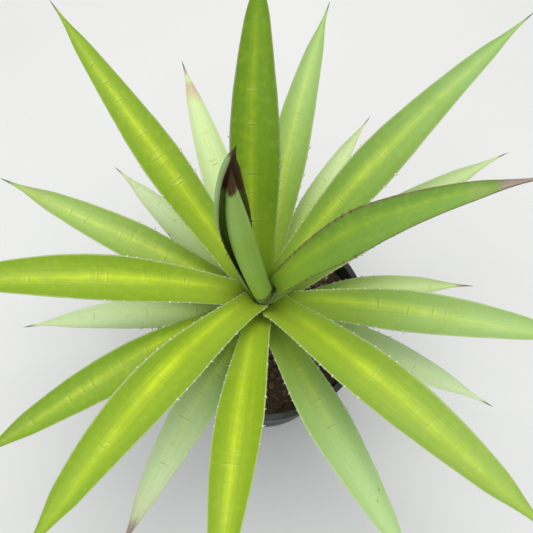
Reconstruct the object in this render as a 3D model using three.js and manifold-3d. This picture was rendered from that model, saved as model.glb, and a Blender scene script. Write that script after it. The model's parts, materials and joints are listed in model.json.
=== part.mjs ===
// Potted agave: a rosette of channelled, sword-shaped leaves set in a clockwise spiral on a short stem. Its
// newest leaf is still rolled into a spear. It is planted in potting mix in a plain round nursery pot.
// Millimetres, +Z up. The origin is the centre of the pot's underside.

import * as THREE from "three";
import { mergeVertices } from "three/addons/utils/BufferGeometryUtils.js";
import Module from "manifold-3d";

const wasm = await Module();
wasm.setup();

const Z = new THREE.Vector3(0, 0, 1);
const { degToRad, lerp, smoothstep, clamp } = THREE.MathUtils;

// ---- driving dimensions -------------------------------------------------------------------------------------

const GAP = 0.3; // clearance between pieces that touch

const POT = {
  rimRadius: 112, // outside, under the lip
  baseShare: 0.75, // radius of the underside, as a share of rimRadius
  height: 196,
  wall: 2.4,
  floor: 3,
  lip: 5, // how far the rim's band stands out
  lipDepth: 14,
  lipSlope: 2, // how much lower the band's foot is outside
  sides: 48,
  drainHoles: 6,
  drainRadius: 6.5,
  drainSides: 12,
  drainShare: 0.72, // circle of the drain holes, as a share of the underside's radius
};

const MIX = {
  headspace: 22, // from the rim down to the surface of the mix
  heapHeight: 6, // the mix is heaped up at the stem
  heapRadius: 25,
  heapFoot: 55,
  heapFootHeight: 2,
};

const STEM = {
  radius: 17, // at the surface of the mix
  topRadius: 9,
  height: 90, // above the mix
  rootCrown: [[5, 46], [11, 28], [15, 7]], // radius and depth below the surface of the mix
  sides: 20,
};

// Where the leaves sit on the stem.
const SPIRAL = {
  divergence: -137.5, // degrees from each leaf to the next older one
  start: 142, // azimuth of the leaf that wraps the spear
  highest: 3, // height of the youngest leaf's foot above the top of the stem
  lowest: 24, // height of the oldest leaf's foot above the mix
  inset: 0.45, // how far a leaf's foot reaches into the stem, as a share of the stem's radius
};

// What all the open leaves share. Shares are of the leaf's length, from its foot.
const LEAF = {
  rings: 15,
  crowding: 1.15, // how much the rings crowd towards the tip
  spine: 16, // length of the hard terminal spine
  spineWidth: 3,
  baseThickness: 8,
  midThickness: 4.4,
  tipThickness: 2.4,
  baseEnd: 0.45, // share where the thick base has thinned to midThickness
  tipStart: 0.5, // share where it starts to thin to tipThickness
  rootWidth: 0.58, // width at the foot, as a share of its greatest width
  widest: 0.47, // share where it is widest
  fold: 0.3, // depth of its channel, as a share of half its width
  archEase: 1.2, // how late it arches
  baseFold: 0.9, // how much deeper its channel is at the foot
  tipFlat: 0.75, // how much shallower its channel is at the tip
  tipFlatStart: 0.85,
};

// The newest leaf, still rolled into a spear.
const SPEAR = {
  length: 212,
  footRadius: 10.5,
  radius: 12,
  widest: 0.3, // share of its length where it is thickest
  taper: 2.4, // how late it narrows beyond that
  spine: 34, // length of its pointed tip
  spineRadius: 4.5,
  rings: 12,
  sides: 10,
  azimuth: 142,
  rise: 71,
  arch: -23,
  swing: -10,
};

// The open leaves from the youngest to the oldest, one row each:
// place   its place in the spiral
// sway    degrees off that place
// length  along the midrib, with the spine
// width   across its widest part
// taper   how roundly it narrows beyond that
// rise    degrees above level where it leaves the stem
// arch    degrees that it bends down again on the way to its tip
// swing   degrees that it bends sideways, counter-clockwise
// twist   degrees that its face has turned at the tip, if it has turned
// fold    depth of its channel, as a share of half its width, where that isn't LEAF.fold
const LEAVES = [
  { place: 0, sway: 0, length: 254, width: 36, taper: 1.25, rise: 71, arch: -34, swing: -15, fold: 0.95 },
  { place: 1, sway: -1, length: 330, width: 47, taper: 1.1, rise: 68, arch: 36, swing: -14, fold: 0.45 },
  { place: 2, sway: 2, length: 350, width: 46, taper: 1.8, rise: 36, arch: 18, swing: 18 },
  { place: 3, sway: 8, length: 330, width: 47, taper: 1.5, rise: 58, arch: 12, swing: -15 },
  { place: 4, sway: 2, length: 355, width: 52, taper: 2.0, rise: 32, arch: 15, swing: -7, twist: -20 },
  { place: 5, sway: 5.5, length: 330, width: 48, taper: 1.8, rise: 30, arch: 24, swing: 11 },
  { place: 6, sway: 8, length: 375, width: 46, taper: 1.3, rise: 38, arch: 15, swing: -11 },
  { place: 7, sway: 1, length: 330, width: 43, taper: 1.6, rise: 28, arch: 15, swing: 6 },
  { place: 8, sway: 9, length: 370, width: 44, taper: 1.3, rise: 30, arch: 12, swing: -4 },
  { place: 9, sway: 5, length: 315, width: 44, taper: 1.7, rise: 24, arch: 14, swing: -8 },
  { place: 10, sway: 3, length: 315, width: 42, taper: 1.7, rise: 20, arch: 12, swing: 11 },
  { place: 11, sway: 12, length: 330, width: 40, taper: 1.5, rise: 28, arch: 14, swing: -10 },
  { place: 12, sway: 2, length: 305, width: 42, taper: 1.5, rise: 18, arch: 10, swing: 4 },
  { place: 13, sway: 3, length: 300, width: 42, taper: 1.6, rise: 20, arch: 12, swing: 0 },
  { place: 14, sway: 17, length: 300, width: 38, taper: 1.4, rise: 22, arch: 12, swing: -11 },
  { place: 15, sway: -2.5, length: 280, width: 40, taper: 1.3, rise: 12, arch: 10, swing: 12 },
  { place: 16, sway: 7, length: 312, width: 38, taper: 1.4, rise: 14, arch: 12, swing: -2 },
  { place: 17, sway: 14, length: 250, width: 38, taper: 1.4, rise: 12, arch: 12, swing: -10 },
  { place: 18, sway: -5.5, length: 248, width: 36, taper: 1.4, rise: 10, arch: 12, swing: 9 },
  { place: 19, sway: 18, length: 265, width: 30, taper: 1.4, rise: 12, arch: 12, swing: -12, twist: 30 },
  { place: 21, sway: -2, length: 245, width: 34, taper: 1.4, rise: 8, arch: 10, swing: 4 },
  { place: 22, sway: 19, length: 230, width: 34, taper: 1.4, rise: 8, arch: 12, swing: -18 },
];

const COLOURS = {
  pot: 0x1c1c1d,
  mix: 0x2b2019,
  stem: 0x9aa763,
  spear: 0x7fa53c,
  youngLeaf: 0x8cb52a,
  oldLeaf: 0xb7d79d,
};

const FINE_STEPS = 8; // steps along a midrib between two rings

// ---- heights that pieces share ------------------------------------------------------------------------------

const mixSurface = POT.height - MIX.headspace;
const stemTop = mixSurface + STEM.height;

function stemRadiusAt(z) {
  return lerp(STEM.radius, STEM.topRadius, clamp((z - mixSurface) / STEM.height, 0, 1));
}

// Outside of the pot's wall.
function potRadiusAt(z) {
  return POT.rimRadius * lerp(POT.baseShare, 1, z / POT.height);
}

// ---- solids -------------------------------------------------------------------------------------------------

// A closed three.js geometry as a solid.
function solidFrom(geometry) {
  const bare = new THREE.BufferGeometry();
  bare.setAttribute("position", geometry.getAttribute("position"));
  bare.setIndex(geometry.index);
  const merged = mergeVertices(bare, 1e-4);
  return new wasm.Manifold(
    new wasm.Mesh({
      numProp: 3,
      vertProperties: merged.getAttribute("position").array,
      triVerts: new Uint32Array(merged.index.array),
    }),
  );
}

function geometryFrom(solid) {
  const mesh = solid.getMesh();
  const geometry = new THREE.BufferGeometry();
  geometry.setAttribute("position", new THREE.BufferAttribute(mesh.vertProperties, 3));
  geometry.setIndex(new THREE.BufferAttribute(mesh.triVerts, 1));
  geometry.computeVertexNormals();
  return geometry;
}

// A solid of revolution about Z, from [radius, height] points.
function turned(points, sides) {
  const profile = points.map(([r, z]) => new THREE.Vector2(r, z));
  const geometry = new THREE.LatheGeometry(profile, sides);
  geometry.rotateX(Math.PI / 2);
  return solidFrom(geometry);
}

// A closed skin over rings of the same even number of points, each ring running counter-clockwise as seen from
// the tip. The first ring is capped by strips and the last is drawn to a point.
function skinOver(rings, point) {
  const around = rings[0].length;
  const vertices = [...rings.flat(), point].flatMap((v) => [v.x, v.y, v.z]);
  const index = [];
  for (let r = 0; r + 1 < rings.length; r++) {
    for (let i = 0; i < around; i++) {
      const a = r * around + i;
      const b = r * around + ((i + 1) % around);
      index.push(a, b + around, b, a, a + around, b + around);
    }
  }
  const last = (rings.length - 1) * around;
  const tip = rings.length * around;
  for (let i = 0; i < around; i++) index.push(last + ((i + 1) % around), last + i, tip);
  for (let i = 0; i < around / 2; i++) {
    const opposite = (around - i) % around;
    const nextOpposite = around - i - 1;
    if (i > 0) index.push(i, nextOpposite, opposite);
    if (i + 1 < around / 2) index.push(i, i + 1, nextOpposite);
  }
  const geometry = new THREE.BufferGeometry();
  geometry.setAttribute("position", new THREE.Float32BufferAttribute(vertices, 3));
  geometry.setIndex(index);
  return geometry;
}

// A copy whose skin has moved outwards, to cut room for the original in what lies against it.
function swollen(geometry, by) {
  geometry.computeVertexNormals();
  const grown = geometry.clone();
  const position = grown.getAttribute("position");
  const normal = grown.getAttribute("normal");
  for (let i = 0; i < position.count; i++) {
    const moved = new THREE.Vector3().fromBufferAttribute(position, i);
    moved.addScaledVector(new THREE.Vector3().fromBufferAttribute(normal, i), by);
    position.setXYZ(i, moved.x, moved.y, moved.z);
  }
  return grown;
}

// ---- pot, mix and stem --------------------------------------------------------------------------------------

function makePot() {
  const lipFoot = POT.height - POT.lipDepth;
  const outside = [
    [0, 0],
    [potRadiusAt(0), 0],
    [potRadiusAt(lipFoot), lipFoot],
    [potRadiusAt(lipFoot) + POT.lip, lipFoot - POT.lipSlope],
    [potRadiusAt(POT.height) + POT.lip, POT.height],
  ];
  const inside = [
    [potRadiusAt(POT.height) - POT.wall, POT.height],
    [potRadiusAt(POT.floor) - POT.wall, POT.floor],
    [0, POT.floor],
  ];
  let pot = turned([...outside, ...inside], POT.sides);
  for (let i = 0; i < POT.drainHoles; i++) {
    const drill = new THREE.CylinderGeometry(POT.drainRadius, POT.drainRadius, 4 * POT.floor, POT.drainSides);
    drill.rotateX(Math.PI / 2);
    drill.translate(POT.drainShare * potRadiusAt(0), 0, 0);
    drill.rotateZ((i * 2 * Math.PI) / POT.drainHoles);
    pot = pot.subtract(solidFrom(drill));
  }
  return pot;
}

// The stem above the mix and its root crown below it, grown outwards by a clearance.
function makeStem(grow = 0) {
  const roots = STEM.rootCrown.map(([radius, depth]) => [radius + grow, mixSurface - depth]);
  const foot = mixSurface - STEM.rootCrown[0][1] - grow;
  return turned(
    [
      [0, foot],
      [STEM.rootCrown[0][0] + grow, foot],
      ...roots.slice(1),
      [STEM.radius + grow, mixSurface],
      [STEM.topRadius + grow, stemTop + grow],
      [0, stemTop + grow],
    ],
    STEM.sides,
  );
}

// The potting mix fills the pot up to the headspace and is heaped up at the stem.
function makeMix() {
  const bottom = POT.floor + GAP;
  const edgeAt = (z) => potRadiusAt(z) - POT.wall - GAP;
  const mix = turned(
    [
      [0, bottom],
      [edgeAt(bottom), bottom],
      [edgeAt(mixSurface), mixSurface],
      [MIX.heapFoot, mixSurface + MIX.heapFootHeight],
      [MIX.heapRadius, mixSurface + MIX.heapHeight],
      [0, mixSurface + MIX.heapHeight],
    ],
    POT.sides,
  );
  return mix.subtract(makeStem(GAP));
}

// ---- leaves -------------------------------------------------------------------------------------------------

// Direction of the midrib at a share of the length.
function midribDirection(leaf, share) {
  const up = degToRad(leaf.rise - leaf.arch * Math.pow(share, LEAF.archEase));
  const turn = degToRad(leaf.azimuth + leaf.swing * share);
  return new THREE.Vector3(Math.cos(up) * Math.cos(turn), Math.cos(up) * Math.sin(turn), Math.sin(up));
}

// Level direction across the leaf at a share of the length, towards its counter-clockwise margin.
function acrossDirection(leaf, share) {
  const turn = degToRad(leaf.azimuth + leaf.swing * share);
  return new THREE.Vector3(-Math.sin(turn), Math.cos(turn), 0);
}

// Rings along a midrib that starts at foot, one at each share of the length, and the point where it ends.
function ringsAlong(leaf, foot, shares, makeRing) {
  const middle = foot.clone();
  const rings = shares.map((share, r) => {
    const ring = makeRing(share, middle);
    const stride = ((shares[r + 1] ?? 1) - share) / FINE_STEPS;
    for (let k = 0; k < FINE_STEPS; k++) {
      middle.addScaledVector(midribDirection(leaf, share + (k + 0.5) * stride), stride * leaf.length);
    }
    return ring;
  });
  return { rings, tip: middle };
}

// Width at a share of the length, as a share of the greatest width.
function widthShare(leaf, share) {
  if (share < LEAF.widest) return lerp(LEAF.rootWidth, 1, smoothstep(share, 0, LEAF.widest));
  return 1 - Math.pow((share - LEAF.widest) / (1 - LEAF.widest), leaf.taper);
}

function leafThickness(share) {
  const blade = lerp(LEAF.baseThickness, LEAF.midThickness, smoothstep(share, 0, LEAF.baseEnd));
  return blade - (LEAF.midThickness - LEAF.tipThickness) * smoothstep(share, LEAF.tipStart, 1);
}

// A channelled upper face and a keeled lower face that meet in two sharp margins.
function leafRing(leaf, share, middle) {
  const along = midribDirection(leaf, share);
  const across = acrossDirection(leaf, share).applyAxisAngle(along, degToRad(leaf.twist * share));
  const normal = new THREE.Vector3().crossVectors(along, across);
  const halfWidth = Math.max(leaf.width * widthShare(leaf, share), LEAF.spineWidth) / 2;
  const deeper = 1 + LEAF.baseFold * Math.pow(1 - share, 4);
  const flatter = 1 - LEAF.tipFlat * smoothstep(share, LEAF.tipFlatStart, 1);
  const channel = leaf.fold * halfWidth * deeper * flatter;
  const place = (x, thickness) => {
    const drop = channel * (1 - x * x) + thickness * Math.sqrt(1 - x * x);
    return middle.clone().addScaledVector(across, x * halfWidth).addScaledVector(normal, -drop);
  };
  const upper = [-1, -0.5, 0, 0.5].map((x) => place(x, 0));
  const lower = [1, 0.5, 0, -0.5].map((x) => place(x, leafThickness(share)));
  return [...upper, ...lower];
}

function leafGeometry(leaf) {
  const azimuth = degToRad(leaf.azimuth);
  const foot = new THREE.Vector3(leaf.reach * Math.cos(azimuth), leaf.reach * Math.sin(azimuth), leaf.height);
  const spineFoot = 1 - LEAF.spine / leaf.length;
  const shares = [];
  for (let r = 0; r < LEAF.rings; r++) {
    shares.push(spineFoot * (1 - Math.pow(1 - r / (LEAF.rings - 1), LEAF.crowding)));
  }
  const { rings, tip } = ringsAlong(leaf, foot, shares, (share, middle) => leafRing(leaf, share, middle));
  return skinOver(rings, tip);
}

function spearRadiusAt(share) {
  if (share < SPEAR.widest) return lerp(SPEAR.footRadius, SPEAR.radius, smoothstep(share, 0, SPEAR.widest));
  const beyond = (share - SPEAR.widest) / (1 - SPEAR.spine / SPEAR.length - SPEAR.widest);
  return lerp(SPEAR.radius, SPEAR.spineRadius, Math.pow(beyond, SPEAR.taper));
}

// A round roll that stands flat on top of the stem and leans as the leaf that wraps it does.
function spearGeometry() {
  const shares = [];
  for (let r = 0; r < SPEAR.rings; r++) {
    shares.push(((1 - SPEAR.spine / SPEAR.length) * r) / (SPEAR.rings - 1));
  }
  const foot = new THREE.Vector3(0, 0, stemTop + GAP);
  const { rings, tip } = ringsAlong(SPEAR, foot, shares, (share, middle) => {
    const axis = share === 0 ? Z : midribDirection(SPEAR, share);
    const ring = [];
    for (let i = 0; i < SPEAR.sides; i++) {
      const spoke = acrossDirection(SPEAR, share).applyAxisAngle(axis, (-i * 2 * Math.PI) / SPEAR.sides);
      ring.push(middle.clone().addScaledVector(spoke, spearRadiusAt(share)));
    }
    return ring;
  });
  return skinOver(rings, tip);
}

// ---- assembly -----------------------------------------------------------------------------------------------

const group = new THREE.Group();

function add(name, solid, colour, roughness) {
  const material = new THREE.MeshStandardMaterial({ color: colour, roughness, metalness: 0 });
  const mesh = new THREE.Mesh(geometryFrom(solid), material);
  mesh.name = name;
  group.add(mesh);
}

add("pot", makePot(), COLOURS.pot, 0.55);
add("potting_mix", makeMix(), COLOURS.mix, 0.95);
add("stem", makeStem(), COLOURS.stem, 0.8);
add("spear_leaf", solidFrom(spearGeometry()), COLOURS.spear, 0.5);

// Each open leaf is cut clear of the stem, the spear and every younger leaf, and loses what they cut off.
const oldest = LEAVES[LEAVES.length - 1].place;
const cutters = [makeStem(GAP), solidFrom(swollen(spearGeometry(), 2 * GAP))];
for (const row of LEAVES) {
  const age = row.place / oldest;
  const height = lerp(stemTop + SPIRAL.highest, mixSurface + SPIRAL.lowest, age);
  const azimuth = SPIRAL.start + SPIRAL.divergence * row.place + row.sway;
  const reach = stemRadiusAt(height) * (1 - SPIRAL.inset);
  const geometry = leafGeometry({ twist: 0, fold: LEAF.fold, ...row, azimuth, height, reach });
  let solid = solidFrom(geometry);
  for (const cutter of cutters) solid = solid.subtract(cutter);
  const blade = solid.decompose().reduce((a, b) => (a.volume() > b.volume() ? a : b));
  const colour = new THREE.Color(COLOURS.youngLeaf).lerp(new THREE.Color(COLOURS.oldLeaf), age);
  add("leaf_" + String(row.place + 2).padStart(2, "0"), blade, colour, 0.5);
  cutters.push(solidFrom(swollen(geometry, 2 * GAP)));
}

export default group;
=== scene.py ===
"""Potted agave: fine leaves, spear, stem, potting mix and pot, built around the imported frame.

Metres, +Z up. The origin is the centre of the pot's underside.
"""

import json
import math
import random
from types import SimpleNamespace

import bmesh
import bpy
import numpy as np
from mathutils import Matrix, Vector, noise
from mathutils.bvhtree import BVHTree


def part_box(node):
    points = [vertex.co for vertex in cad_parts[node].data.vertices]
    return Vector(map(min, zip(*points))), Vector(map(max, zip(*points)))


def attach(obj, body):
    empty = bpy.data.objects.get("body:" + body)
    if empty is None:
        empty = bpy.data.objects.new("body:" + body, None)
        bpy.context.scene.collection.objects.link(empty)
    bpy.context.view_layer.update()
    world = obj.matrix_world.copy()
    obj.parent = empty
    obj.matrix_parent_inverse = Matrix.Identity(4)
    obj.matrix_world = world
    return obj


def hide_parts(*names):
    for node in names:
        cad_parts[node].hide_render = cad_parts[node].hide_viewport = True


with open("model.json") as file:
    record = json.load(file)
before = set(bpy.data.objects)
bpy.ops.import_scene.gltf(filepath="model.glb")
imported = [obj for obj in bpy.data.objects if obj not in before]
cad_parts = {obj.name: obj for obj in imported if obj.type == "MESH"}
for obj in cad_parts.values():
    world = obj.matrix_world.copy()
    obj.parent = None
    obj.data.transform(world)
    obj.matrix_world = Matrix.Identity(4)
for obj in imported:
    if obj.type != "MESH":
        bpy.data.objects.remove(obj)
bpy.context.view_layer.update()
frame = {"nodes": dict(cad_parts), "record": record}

MM = 0.001
UP = Vector((0, 0, 1))

stem_low, stem_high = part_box("stem")
pot_low, pot_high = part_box("pot")
mix_low, mix_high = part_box("potting_mix")
CROWN = Vector((0, 0, stem_high.z))

# ---- what differs from leaf to leaf ----

# deep  how much darker and greener than lime it is: partly a deeper green, partly painted shade on leaves in
# shadow
# cool      how much bluer than lime it is
# pale      how pale and minty it is, at its foot and at its tip
# stripe    strength of the yellow midstripe
# place     where the midstripe runs across the leaf, at its foot and at its tip, from -1 to 1
# bloom     bluish wax towards the tip
# brown     how brown the margin is, from 0, horny white, to 1, and above 0.6 how wide
# dry       length of the dried tip, in millimetres
# hood      length of the brown hood on its inner face, in millimetres
# blush     pink flush near the tip
# creases   how many short creases cross the midstripe
# wrinkle   how quilted its face is
# spots     how many small blemishes there are, from 0 to 1
USUAL = dict(
    deep=0.0, cool=0.1, pale=(0.0, 0.0), stripe=0.8, place=(0.0, 0.0), bloom=0.03,
    brown=0.05, dry=8, hood=0, blush=0.0, creases=7, wrinkle=0.4, spots=0.0,
)
ALL_OVER = ("deep", "cool", "stripe", "bloom", "brown", "blush", "wrinkle", "spots")  # one value per leaf
LEAF_TRAITS = {
    # leaf_02 is darkened as painted shade: its inner face folds in towards the crown
    "leaf_02": dict(
        deep=0.8, cool=0.5, stripe=0.1, bloom=0.35, brown=1.4, dry=24, hood=100, creases=0, wrinkle=0.1,
    ),
    # leaf_03's weak stripe, set off to one side, is a painted sheen over one half of its face, not a
    # midstripe
    "leaf_03": dict(
        deep=0.2, cool=0.65, stripe=0.35, place=(0.6, 0.3), bloom=0.1, brown=0.9, dry=38, blush=0.4,
        creases=0, wrinkle=0.1,
    ),
    "leaf_04": dict(deep=0.05, stripe=1.0, place=(-0.55, 0.2)),
    # leaf_05 is darkened partly as painted shade: it stands steep, its face turned from the light
    "leaf_05": dict(deep=0.65, stripe=0.45, place=(0.25, 0.05), bloom=0.0, brown=0.5, creases=9),
    "leaf_06": dict(pale=(0.0, 0.1), stripe=0.85, place=(0.35, 0.0), bloom=0.12, spots=0.1),
    "leaf_07": dict(deep=0.15, cool=0.05, stripe=0.9, place=(-0.4, 0.2), creases=12, wrinkle=0.5),
    "leaf_08": dict(deep=0.2, cool=0.4, pale=(0.0, 0.15), stripe=0.75, place=(0.35, -0.05), bloom=0.4),
    "leaf_09": dict(cool=0.0, stripe=1.0, place=(-0.3, 0.15), creases=8),
    "leaf_10": dict(deep=0.15, stripe=0.9, place=(-0.2, 0.1), bloom=0.05, creases=15, wrinkle=0.9),
    "leaf_11": dict(cool=0.3, pale=(0.0, 0.3), place=(0.55, -0.3), bloom=0.4, spots=0.3),
    "leaf_12": dict(deep=0.3, stripe=0.75, place=(-0.7, 0.2), bloom=0.06, creases=17, wrinkle=0.9),
    "leaf_13": dict(
        deep=0.1, cool=0.3, pale=(0.0, 0.3), stripe=0.7, place=(0.15, 0.05), bloom=0.25, brown=0.35,
    ),
    "leaf_14": dict(cool=0.4, pale=(0.05, 0.6), stripe=0.45, place=(0.2, 0.0), bloom=0.5, spots=0.8),
    "leaf_15": dict(
        deep=0.1, cool=0.15, pale=(0.0, 0.3), place=(-0.35, 0.15), dry=12, blush=0.35, creases=18,
        wrinkle=1.0,
    ),
    "leaf_16": dict(pale=(0.1, 0.6), stripe=0.4, bloom=0.25),
    "leaf_17": dict(
        deep=0.15, cool=0.5, pale=(0.0, 1.0), stripe=0.5, place=(-0.2, 0.0), bloom=0.2, dry=32,
        blush=0.35, creases=15, wrinkle=1.0, spots=0.2,
    ),
    "leaf_18": dict(
        cool=0.2, pale=(0.6, 0.75), stripe=0.6, place=(0.1, -0.1), dry=14, blush=1.0, creases=15,
        wrinkle=0.9,
    ),
    "leaf_19": dict(cool=0.2, pale=(0.2, 1.0), stripe=0.45, place=(0.2, 0.1), bloom=0.2, spots=0.1),
    "leaf_20": dict(pale=(0.3, 1.0), stripe=0.4, place=(-0.2, -0.2), creases=9, wrinkle=0.8),
    "leaf_21": dict(pale=(0.0, 0.7), stripe=0.3, place=(0.2, 0.1), bloom=0.1, blush=0.2, spots=0.2),
    "leaf_23": dict(pale=(0.1, 1.0), stripe=0.55, place=(-0.3, -0.3), dry=10, blush=0.35, spots=1.0),
    "leaf_24": dict(pale=(0.0, 0.55), stripe=0.5, place=(0.5, -0.3), brown=0.2, dry=16, spots=0.2),
}

# ---- nodes of a material ----


class Graph:
    """Adds nodes to one node tree and wires them up as it goes."""

    def __init__(self, tree):
        self.tree = tree

    def node(self, kind, *inputs, **settings):
        made = self.tree.nodes.new(kind)
        for key, value in settings.items():
            setattr(made, key, value)
        for place, value in enumerate(inputs):
            self.feed(made.inputs[place], value)
        return made

    def feed(self, socket, value):
        if isinstance(value, bpy.types.NodeSocket):
            self.tree.links.new(value, socket)
        elif value is not None:
            socket.default_value = value

    def maths(self, operation, *inputs, clamp=False):
        return self.node("ShaderNodeMath", *inputs, operation=operation, use_clamp=clamp).outputs[0]

    def times(self, a, b, clamp=False):
        return self.maths("MULTIPLY", a, b, clamp=clamp)

    def plus(self, a, b, clamp=False):
        return self.maths("ADD", a, b, clamp=clamp)

    def minus(self, a, b):
        return self.maths("SUBTRACT", a, b)

    def mix(self, share, a, b):
        made = self.node("ShaderNodeMix", data_type="RGBA", blend_type="MIX", clamp_factor=True)
        for name, value in (("Factor_Float", share), ("A_Color", a), ("B_Color", b)):
            socket = next(s for s in made.inputs if s.identifier == name)
            self.feed(socket, value)
        return next(s for s in made.outputs if s.identifier == "Result_Color")

    def ease(self, value, start, end, low=0.0, high=1.0):
        """low at start, high at end, and a smooth step between."""
        inputs = value, start, end, low, high
        return self.node("ShaderNodeMapRange", *inputs, interpolation_type="SMOOTHSTEP").outputs[0]

    def value(self, name):
        return self.node("ShaderNodeAttribute", attribute_name=name).outputs["Fac"]

    def vector(self, x, y, z):
        return self.node("ShaderNodeCombineXYZ", x, y, z).outputs[0]

    def noise(self, vector, scale, detail=3.0, roughness=0.5):
        made = self.node("ShaderNodeTexNoise")
        settings = {"Vector": vector, "Scale": scale, "Detail": detail, "Roughness": roughness}
        for name, value in settings.items():
            self.feed(made.inputs[name], value)
        return made.outputs["Fac"]

    def position(self):
        return self.node("ShaderNodeTexCoord").outputs["Object"]

    def group(self, tree, **inputs):
        made = self.node("ShaderNodeGroup", node_tree=tree)
        for name, value in inputs.items():
            self.feed(made.inputs[name.replace("_", " ").capitalize()], value)
        return made.outputs


def new_group(name, inputs, outputs):
    """A shader node group with named sockets. inputs maps a name to its default: a colour or a number."""
    tree = bpy.data.node_groups.new(name, "ShaderNodeTree")
    for label, default in inputs.items():
        kind = "NodeSocketColor" if isinstance(default, tuple) else "NodeSocketFloat"
        socket = tree.interface.new_socket(label, in_out="INPUT", socket_type=kind)
        socket.default_value = default
    for label, kind in outputs.items():
        tree.interface.new_socket(label, in_out="OUTPUT", socket_type=kind)
    graph = Graph(tree)
    taken = graph.node("NodeGroupInput").outputs
    given = graph.node("NodeGroupOutput").inputs
    return tree, graph, taken, given


def finish(graph, shader, colour, roughness, normal):
    graph.feed(shader["Base Color"], colour)
    graph.feed(shader["Roughness"], roughness)
    graph.feed(shader["Normal"], normal)


def new_material(name):
    material = bpy.data.materials.new(name)
    material.use_nodes = True
    material.node_tree.nodes.clear()
    graph = Graph(material.node_tree)
    shader = graph.node("ShaderNodeBsdfPrincipled")
    graph.node("ShaderNodeOutputMaterial", shader.outputs[0])
    return material, graph, shader.inputs


def bumped(graph, height, distance):
    bump = graph.node("ShaderNodeBump")
    graph.feed(bump.inputs["Height"], height)
    bump.inputs["Distance"].default_value = distance
    bump.inputs["Strength"].default_value = 1.0
    return bump.outputs[0]


# ---- finishes ----

BLUE_WAX = (0.36, 0.57, 0.3, 1)
HORN_WHITE = (0.62, 0.66, 0.45, 1)
HORN_BROWN = (0.12, 0.055, 0.018, 1)
DRIED = (0.62, 0.5, 0.43, 1)
DRIED_DARK = (0.22, 0.14, 0.11, 1)
DRIED_BROWN = (0.045, 0.02, 0.009, 1)
RUSSET = (0.17, 0.075, 0.032, 1)
PINK = (0.58, 0.32, 0.28, 1)
# deep green, also used as painted shade on leaves that lie in shadow
DEEP_GREEN_AND_SHADE = (0.105, 0.235, 0.006, 1)
FLANK_GREEN = (0.07, 0.2, 0.004, 1)
# painted light on the leaves' feet
FOOT_PAINTED_LIGHT = (0.46, 0.62, 0.055, 1)
# dark streaks in the skin, and painted shade in the creases
STREAK_AND_CREASE_SHADE = (0.13, 0.25, 0.008, 1)
# painted highlight on the lip of a crease
CREASE_LIP_HIGHLIGHT = (0.75, 0.84, 0.3, 1)
SPOT_YELLOW = (0.6, 0.6, 0.05, 1)
SPOT_BROWN = (0.12, 0.09, 0.04, 1)
SPINE_BROWN = (0.08, 0.042, 0.028, 1)


def streaks(g, v, fine, long, detail=3.0):
    """Noise that is drawn out along the leaf."""
    place = g.vector(g.times(v.across, fine), g.times(v.along, long), v.offset)
    return g.noise(place, 1.0, detail)


def leaf_values(g):
    """The values that the layers of the leaf skin share."""
    v = SimpleNamespace()
    v.across, v.along, v.from_tip, v.pale = (g.value(n) for n in ("across", "along", "from_tip", "pale"))
    v.share = g.maths("DIVIDE", v.along, g.plus(g.plus(v.along, v.from_tip), 0.001))
    v.offset = g.times(g.value("seed"), 40.0)
    v.off_stripe = g.minus(v.across, g.value("stripe_place"))
    v.broad = streaks(g, v, 3.0, 14.0)
    v.fine = streaks(g, v, 22.0, 7.0, 4.0)
    v.hair = streaks(g, v, 90.0, 26.0, 2.0)
    v.cloud = g.noise(g.position(), 34.0, 4.0)
    v.mottle = g.noise(g.position(), 150.0, 3.0)
    wander = g.times(g.minus(v.broad, 0.5), 0.16)
    v.from_stripe = g.maths("ABSOLUTE", g.plus(v.off_stripe, wander))
    return v


def midstripe(g, v):
    """Share of the midstripe: a crisp thin line in a soft streaky band, weaker towards the tip."""
    line = g.ease(v.from_stripe, 0.11, 0.03)
    frayed = g.plus(v.from_stripe, g.times(g.minus(v.fine, 0.5), 0.3))
    band = g.ease(frayed, 0.42, 0.05)
    ends = g.times(g.ease(v.along, 0.015, 0.07, 0.3, 1), g.ease(v.from_tip, 0.01, 0.1, 0.1, 1))
    ends = g.times(ends, g.ease(v.share, 0.4, 1.0, 1, 0.45))
    patchy = g.ease(g.plus(v.cloud, g.times(v.mottle, 0.3)), 0.45, 0.85, 0.6, 1.15)
    strength = g.times(g.times(g.value("stripe"), patchy), ends)
    glow = g.plus(g.times(line, 0.24), g.times(band, 0.46))
    return g.times(glow, strength, clamp=True)


def leaf_side(g, v, taken):
    """The green beside the midstripe, with dark lines, darker flanks and a lighter mottle."""
    side = g.mix(g.value("cool"), taken["Lime"], taken["Cool"])
    # the per-leaf darkening towards deep green is partly a deeper green and partly painted shade, strongest
    # on leaf_02 and leaf_05
    side = g.mix(g.value("deep"), side, DEEP_GREEN_AND_SHADE)
    side = g.mix(v.pale, side, taken["Pale"])
    lines = g.times(g.ease(v.fine, 0.35, 0.7), g.ease(v.pale, 0.0, 1.0, 0.3, 0.2))
    side = g.mix(lines, side, g.mix(0.5, side, STREAK_AND_CREASE_SHADE))
    away = g.maths("ABSOLUTE", v.across)
    flank = g.times(g.ease(away, 0.25, 0.9), g.ease(v.pale, 0.0, 1.0, 0.42, 0.14))
    side = g.mix(flank, side, g.mix(0.62, side, FLANK_GREEN))
    return g.mix(g.ease(v.mottle, 0.45, 0.75, 0, 0.2), side, g.mix(0.5, side, taken["Stripe"]))


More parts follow.
